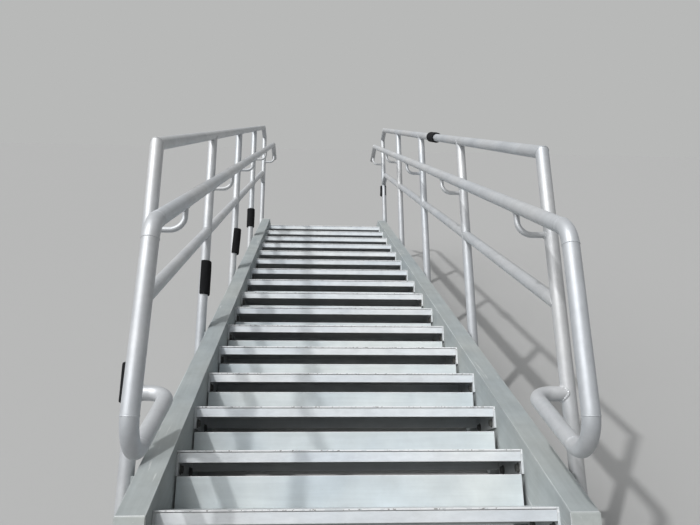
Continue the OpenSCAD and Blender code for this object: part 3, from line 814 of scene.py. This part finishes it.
def handrail_stations():
    """Stations of the whole pipe as points (in from the handrail's plane, run, rise), each
    with a heading vector and a vector square to it. Straights are lines; bends are arcs
    turning left about a centre one bend radius aside; the last turn leaves the plane."""
    slope_cut = BEND_R * math.tan(math.pi / 4 - PITCH / 2)
    corner = np.array([-DROP_REACH, float(nosing_line(-DROP_REACH)) + HANDRAIL_H])
    along = np.array([math.cos(PITCH), math.sin(PITCH)])
    end = rail_point(LANDING_RUN + HANDRAIL_REACH, HANDRAIL_H)
    fold = rail_point(LANDING_RUN, HANDRAIL_H)
    elbow = corner + slope_cut * along
    spots, heads, radii, stretch, seams = [], [], [], [], []

    def add(spot, heading, radius=PIPE_R, long=1.0):
        spots.append(spot), heads.append(heading), radii.append(radius), stretch.append(long)

    def straight(a, b, heading, seam_a=False, seam_b=False):
        """From a to b, with a slightly raised ring beside an end that is welded to a bend. One
        more station inside each end keeps the shading of the long straight true."""
        unit = (b - a) / np.linalg.norm(b - a)
        for on, spot, sign in ((seam_a, a, 1), (seam_b, b, -1)):
            rows = [(0.0, 0.0), (SEAM_W, 0.0)]
            if on:
                rows = [(0.0, 0.0), (1.0, SEAM_LIFT * 0.7), (SEAM_W, SEAM_LIFT),
                        (2 * SEAM_W - 1, SEAM_LIFT * 0.7), (2 * SEAM_W, 0.0), (3 * SEAM_W, 0.0)]
            for gap, lift in rows if sign > 0 else rows[::-1]:
                if lift == SEAM_LIFT:
                    seams.append(len(spots))
                add(spot + sign * unit * gap, heading, PIPE_R + lift)

    def arc(start, heading, sweep, steps, seam):
        """An arc turning left: centre = start + radius * left, angle grows by the sweep. The
        weld is a raised ring about the station that seam counts from the arc's start."""
        left = np.array([-math.sin(heading), math.cos(heading)])
        centre = start + BEND_R * left
        for k, t in enumerate(np.linspace(0, sweep, steps + 1)[1:-1]):
            if k == seam:
                seams.append(len(spots))
            add(centre + BEND_R * np.array([math.sin(heading + t), -math.cos(heading + t)]), heading + t,
                PIPE_R + SEAM_LIFT * max(0, 1 - abs(k - seam) / 1.6))

    add(end, math.pi, 0)
    for back, lost in END_ROUND:
        add(end + [-back, 0], math.pi, PIPE_R - lost)
    add(fold, math.pi + PITCH / 2, PIPE_R, 1 / math.cos(PITCH / 2))
    down = math.pi * 1.5
    leg_top = np.array([-DROP_REACH, corner[1] - slope_cut])
    leg_low = np.array([-DROP_REACH, LEG_LOW])
    slope_heading = math.pi + PITCH
    straight(fold - along * FOLD_GAP, elbow, slope_heading, seam_b=True)
    first_bent = len(spots)
    arc(elbow, slope_heading, math.pi / 2 - PITCH, ELBOW_STEPS, ELBOW_SEAM)
    straight(leg_top, leg_low, down)
    arc(leg_low, down, math.pi / 2 + PITCH, LOW_STEPS, LOW_SEAM)
    bend_x = BEND_R - DROP_REACH
    back = np.array([bend_x + BEND_R * math.sin(PITCH), LEG_LOW - BEND_R * math.cos(PITCH)])
    turn_at = np.array([POST_SET, back[1] + SLOPE * (POST_SET - back[0])]) - TURN_R * along
    straight(back, turn_at, 2 * math.pi + PITCH, seam_a=True)
    spots, heads = np.array(spots), np.array(heads)
    centre = np.concatenate([np.zeros((len(spots), 1)), spots], 1)
    tangent = np.stack([0 * heads, np.cos(heads), np.sin(heads)], -1)
    normal = np.stack([0 * heads, -np.sin(heads), np.cos(heads)], -1)
    # The turn out of the plane keeps the last normal
    b = np.linspace(0, math.pi / 2, 23)[1:]
    t0, n0 = tangent[-1], normal[-1]
    out = np.array([1.0, 0, 0])
    bent = centre[-1] + TURN_R * (np.sin(b)[:, None] * t0 + (1 - np.cos(b))[:, None] * out)
    bent_t = np.cos(b)[:, None] * t0 + np.sin(b)[:, None] * out
    end_stub = bent[-1] + out * np.array([[4.0], [HANDRAIL_IN - TURN_R - 6]])
    centre = np.concatenate([centre, bent, end_stub])
    tangent = np.concatenate([tangent, bent_t, np.repeat(out[None], 2, 0)])
    normal = np.concatenate([normal, np.repeat(n0[None], len(b) + 2, 0)])
    radii = np.concatenate([radii, np.full(len(b) + 2, PIPE_R)])
    stretch = np.concatenate([stretch, np.ones(len(b) + 2)])
    return centre, tangent, normal, radii, stretch, first_bent, elbow[1], seams


def pipe_rings(centre, tangent, normal, radii, stretch, sides=48):
    """Ring a at a station: centre + r (cos a * binormal + sin a * normal * stretch)."""
    a = np.linspace(0, 2 * math.pi, sides + 1)[None, :, None]
    binormal = np.cross(tangent, normal)
    r = radii[:, None, None]
    upright = np.sin(a) * stretch[:, None, None] * normal[:, None]
    rings = centre[:, None] + r * (np.cos(a) * binormal[:, None] + upright)
    rings[:, -1] = rings[:, 0]
    return rings


def collar(side, run, rise, r):
    """The closed curve in which a bar that comes across meets a post: at angle a round the bar
    the post's surface lies sqrt(PIPE_R^2 - (r cos a)^2) in from its centre line."""
    a = np.linspace(0, 2 * math.pi, 73)[:-1]
    inward = np.sqrt(np.maximum(PIPE_R ** 2 - (r * np.cos(a)) ** 2, 0))
    return np.stack([side * (POST_X - inward), run + r * np.cos(a), rise + r * np.sin(a)], -1)


for side, word in ((-1, "left"), (1, "right")):
    *stations, first_bent, elbow_top, seamed = handrail_stations()
    rings = pipe_rings(*stations)
    if side < 0:
        # The left return was welded a little out of plumb: it swings outward about the elbow's top
        out, down = rings[first_bent:, :, 0].copy(), elbow_top - rings[first_bent:, :, 2]
        rings[first_bent:, :, 0] = out * math.cos(LOOP_SWING) + down * math.sin(LOOP_SWING)
        rings[first_bent:, :, 2] = elbow_top - down * math.cos(LOOP_SWING) + out * math.sin(LOOP_SWING)
    rings[..., 0] = side * (HANDRAIL_X + rings[..., 0])
    rail = skin("grab_rail_" + word, laid(rings), sharp=25)
    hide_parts("handrail_" + word, "handrail_return_" + word)
    # Beads: one where the return's end meets the first post, one in the fold, and thin ones
    # that follow the pipe's own ring where the bends were welded on
    seam_beads = []
    for k in seamed:
        ring = rings[k, :-1]
        sunk = ring.mean(0) + (ring - ring.mean(0)) * (1 - WELD_SUNK / PIPE_R)
        seam_beads.append(ring_weld(sunk, SEAM_BEAD_R, SEAM_SWELL))
    end = stations[0][-1]
    lifted = HANDRAIL_IN * math.sin(LOOP_SWING) if side < 0 else 0
    bead = ring_weld(collar(side, end[1], end[2] + lifted, PIPE_R - POST_BEAD_SUNK), POST_BEAD_R, POST_SWELL)
    fold = mitre_ring(side * HANDRAIL_X, rail_point(LANDING_RUN, HANDRAIL_H), PITCH / 2, PITCH / 2)
    for piece in (rail, skin("grab_rail_welds_" + word, bead, ring_weld(fold, MITRE_WELD_R), *seam_beads)):
        piece.data.materials.append(pipe_paint)
        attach(piece, "root")


# Brackets: a bent round bar from each post in and up to the handrail's underside,
# welded at both ends.
BAR_R, BAR_DROP, BAR_BEND = 9.5, 99.0, 45.0
# How far the bar runs into the pipes, and its beads: radius, distance outside the bar, swell
BAR_SUNK, BAR_BEAD_R, BAR_BEAD_OUT, BAR_BEAD_SWELL = 6, 2.4, 0.6, 0.15


def bracket_rings(run):
    """Stations of the bar as (in from the handrail's plane, run, rise): straight in from the
    post, a quarter turn up, straight up to the pipe."""
    rail = rail_point(run, HANDRAIL_H)
    low = rail[1] - BAR_DROP
    q = np.linspace(0, math.pi / 2, 15)
    inward = np.array([[HANDRAIL_IN - PIPE_R + BAR_SUNK, low]])
    turn = np.stack([BAR_BEND - BAR_BEND * np.sin(q), low + BAR_BEND - BAR_BEND * np.cos(q)], -1)
    up = np.array([[0, rail[1] - PIPE_R + BAR_SUNK]])
    path = np.concatenate([inward, turn, up])
    centre = np.stack([path[:, 0], np.full(len(path), run), path[:, 1]], -1)
    heading = np.concatenate([[0], q, [math.pi / 2]])
    tangent = np.stack([-np.cos(heading), 0 * heading, np.sin(heading)], -1)
    normal = np.stack([np.sin(heading), 0 * heading, np.cos(heading)], -1)
    return pipe_rings(centre, tangent, normal, np.full(len(path), BAR_R), np.ones(len(path)), 24)


parts, beads = [], []
for side in (-1, 1):
    for run in post_runs:
        rings = bracket_rings(run)
        rings[..., 0] = side * (HANDRAIL_X + rings[..., 0])
        parts.append(laid(rings))
        rail = rail_point(run, HANDRAIL_H)
        lean = PITCH if run < LANDING_RUN else 0
        for curve in (collar(side, run, rail[1] - BAR_DROP, BAR_R + BAR_BEAD_OUT),
                      saddle_ring(side * HANDRAIL_X, rail, -math.pi / 2, lean, BAR_R + BAR_BEAD_OUT)):
            beads.append(ring_weld(curve, BAR_BEAD_R, BAR_BEAD_SWELL))
bars, bar_welds = skin("rail_brackets", *parts), skin("bracket_welds", *beads)
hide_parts("brackets")
for piece in (bars, bar_welds):
    piece.data.materials.append(pipe_paint)
    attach(piece, "root")


# Foam sleeves: slit black foam tubes pushed onto some pipes as packing. The foam is
# smaller than the pipe, so the slit stands wide open and some hang a little aslant.
SLEEVE_R, SLEEVE_BORE, SLIT = 32.0, PIPE_R + 0.3, math.radians(100)
# For each sleeve on a post: side, post, height of the foot over the nosings, length, how far
# the foot and the top stand outward off the post's centre line, and the direction of the slit
# in degrees (90 outward, 180 front)
POST_SLEEVES = ((-1, 0, 212, 113, 8, 8, 270), (-1, 1, 194, 165, 0, 0, 103), (-1, 2, 135, 172, -5, -14, 102),
                (-1, 3, 110, 162, 0, 0, 0), (1, 4, 378, 110, -10, -5, 180))
RAIL_SLEEVE = (1, 1825.0, 200.0)  # side, run and length of the one on the top rail
RAIL_SLEEVE_TURN = math.radians(200)  # where its section starts; it has no slit


def sleeve(length, out_a, out_b, at, slit):
    """A C section carried up a pipe that stands upright at the origin, with local axes
    (outward, ahead, up). The outside is a circle with low ripples about the sleeve's own
    axis; the inside is the larger of the bore about that axis and the pipe itself; the
    jaws stay where the outside is clear of the pipe. Corners are drawn in at both ends."""
    along = np.concatenate([[0, 1.2, 3.5], np.linspace(8, length - 8, 16),
                            [length - 3.5, length - 1.2, length]])
    drawn = np.concatenate([[3.2, 1.0, 0.2], np.zeros(16), [0.2, 1.0, 3.2]])
    turn = np.linspace(at + slit / 2, at + 2 * math.pi - slit / 2, 61)
    grids_out, grids_in = np.zeros((len(along), len(turn), 3)), np.zeros((len(along), len(turn), 3))
    for row, (h, inset) in enumerate(zip(along, drawn)):
        shift = out_a + (out_b - out_a) * h / length
        ripple = 0.5 + 0.4 * np.sin(3 * turn + h / 31) + 0.3 * np.sin(5 * turn - h / 17)
        ripple[0] += 1.5
        ripple[-1] += 1.5
        aim = np.stack([np.sin(turn), np.cos(turn)], -1)
        outer = aim * (SLEEVE_R - ripple - inset)[:, None] + [shift, 0]
        inner = aim * SLEEVE_BORE + [shift, 0]
        for ring, spare in ((inner, 0.0), (outer, 1.2)):
            far = np.linalg.norm(ring, axis=1, keepdims=True)
            ring *= np.maximum(1, (SLEEVE_BORE + spare) / far)
        grids_out[row, :, :2], grids_in[row, :, :2] = outer, inner
        grids_out[row, :, 2] = grids_in[row, :, 2] = h
    jaws = [np.stack([grids_out[:, k], grids_in[:, k]], 1) for k in (0, -1)] if slit else []
    ends = [np.stack([grids_out[k], grids_in[k]], 1) for k in (0, -1)]
    return [grids_out, grids_in, *jaws, *ends]


def stood(grids, side, foot, heading):
    """Local (outward, ahead, up) of a sleeve to its pipe: up goes along the heading."""
    up_way = np.array([math.cos(heading), math.sin(heading)])
    ahead_way = np.array([math.sin(heading), -math.cos(heading)])
    made = []
    for grid in grids:
        spots = np.zeros(grid.shape)
        spots[..., 0] = side * (POST_X + grid[..., 0])
        spots[..., 1:] = np.asarray(foot) + grid[..., 1:2] * ahead_way + grid[..., 2:3] * up_way
        made.append(laid(spots))
    return made


foam = paint("black foam", (0.012, 0.012, 0.013), spread=0.15, streak=0.05, rough=0.85, grain=0.9, gloss=0.12)
parts = []
for side, k, height, length, out_a, out_b, at in POST_SLEEVES:
    grids = sleeve(length, out_a, out_b, math.radians(at), SLIT)
    parts += stood(grids, side, rail_point(post_runs[k], height), math.pi / 2)
side, run, length = RAIL_SLEEVE
parts += stood(sleeve(length, 0, 0, RAIL_SLEEVE_TURN, 0.0), side, rail_point(run, GUARD_H), PITCH)
piece = skin("foam_sleeves", *parts)
piece.data.materials.append(foam)
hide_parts("sleeves")
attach(piece, "root")


# The box of everything shown but the floor.
low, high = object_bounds()
